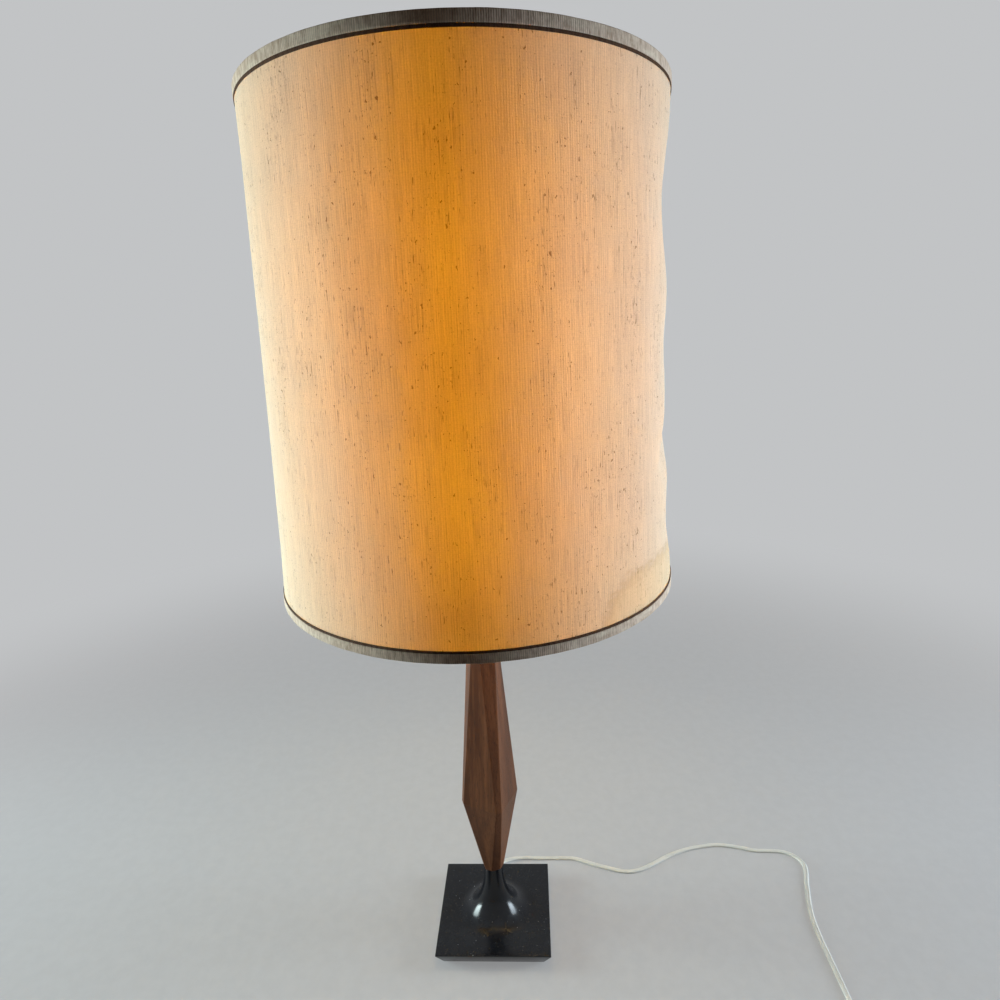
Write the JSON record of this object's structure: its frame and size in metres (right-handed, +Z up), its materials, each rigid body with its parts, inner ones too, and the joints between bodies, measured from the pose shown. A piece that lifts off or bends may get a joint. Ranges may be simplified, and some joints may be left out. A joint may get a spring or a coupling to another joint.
{
  "type": "table lamp with shade",
  "caption": "Tall table lamp: square cast base with a trumpet neck, faceted wooden body, turn-knob socket on a harp, and a tall slub fabric drum shade.",
  "frame": {"origin": "centre of the underside of the felt pad, on the lamp's axis, at the height of the table", "axes": "+Z up along the lamp's axis, +X to the right along the front edge of the square base, +Y towards the back, where the lead leaves"},
  "size_m": [0.6322, 0.4152, 0.942],
  "materials": {
    "felt": "matte",
    "base_black": "gloss enamel",
    "walnut": "oiled",
    "brass": "satin",
    "steel": "zinc plated",
    "paper": "matte",
    "moulding": "satin",
    "screw_metal": "bright",
    "bulb_glass": "frosted",
    "stem_glass": "clear",
    "tungsten": "dull",
    "liner": "matte",
    "slub": "slubbed",
    "tape": "woven",
    "ribbon": "woven",
    "cord": "satin"
  },
  "bodies": {
    "stand": {"felt_pad": "felt", "base_casting": "base_black", "base_washer": "steel", "base_nut": "steel", "lamp_pipe": "steel", "wood_body": "walnut", "wood_ring": "brass", "neck_tube": "brass", "neck_cap": "brass", "harp_saddle": "brass", "socket_cap": "brass", "socket_shell": "brass", "socket_liner": "paper", "socket_block": "moulding", "terminal_screws": "brass", "centre_contact": "brass", "screw_shell": "screw_metal", "lead_wires": "cord", "harp": "brass", "cord_relief": "cord", "cord_lead": "cord", "cord_coil": "cord", "cord_tail": "cord", "cord_tie": "cord", "plug_body": "cord", "plug_blades": "brass"},
    "shade": {"spider_frame": "steel", "shade_bottom_ring": "steel", "shade_liner": "liner", "shade_fabric": "slub", "top_tape": "tape", "bottom_tape": "tape", "top_ribbon": "ribbon", "bottom_ribbon": "ribbon"},
    "finial": {"finial": "brass"},
    "switch": {"switch_knob": "moulding"},
    "bulb": {"bulb_cap": "screw_metal", "bulb_glass": "bulb_glass", "bulb_stem": "stem_glass", "bulb_filament": "tungsten"},
    "sleeve_left": {"harp_sleeve_left": "brass"},
    "sleeve_right": {"harp_sleeve_right": "brass"}
  },
  "joints": [
    {"name": "shade_turn", "type": "hinge", "parent": "stand", "child": "shade", "pos_m": [0, 0, 0.885], "axis": [0, 0, 1], "continuous": true},
    {"name": "finial_turn", "type": "hinge", "parent": "stand", "child": "finial", "pos_m": [0, 0, 0.89], "axis": [0, 0, 1], "continuous": true},
    {"name": "switch_turn", "type": "hinge", "parent": "stand", "child": "switch", "pos_m": [0, -0.02, 0.6076], "axis": [0, -1, 0], "continuous": true},
    {"name": "bulb_turn", "type": "hinge", "parent": "stand", "child": "bulb", "pos_m": [0, 0, 0.63], "axis": [0, 0, 1], "range_deg": [0, 1080]},
    {"name": "sleeve_left_slide", "type": "slide", "parent": "stand", "child": "sleeve_left", "axis": [0, 0, 1], "range_m": [0, 0.012]},
    {"name": "sleeve_right_slide", "type": "slide", "parent": "stand", "child": "sleeve_right", "axis": [0, 0, 1], "range_m": [0, 0.012]}
  ]
}
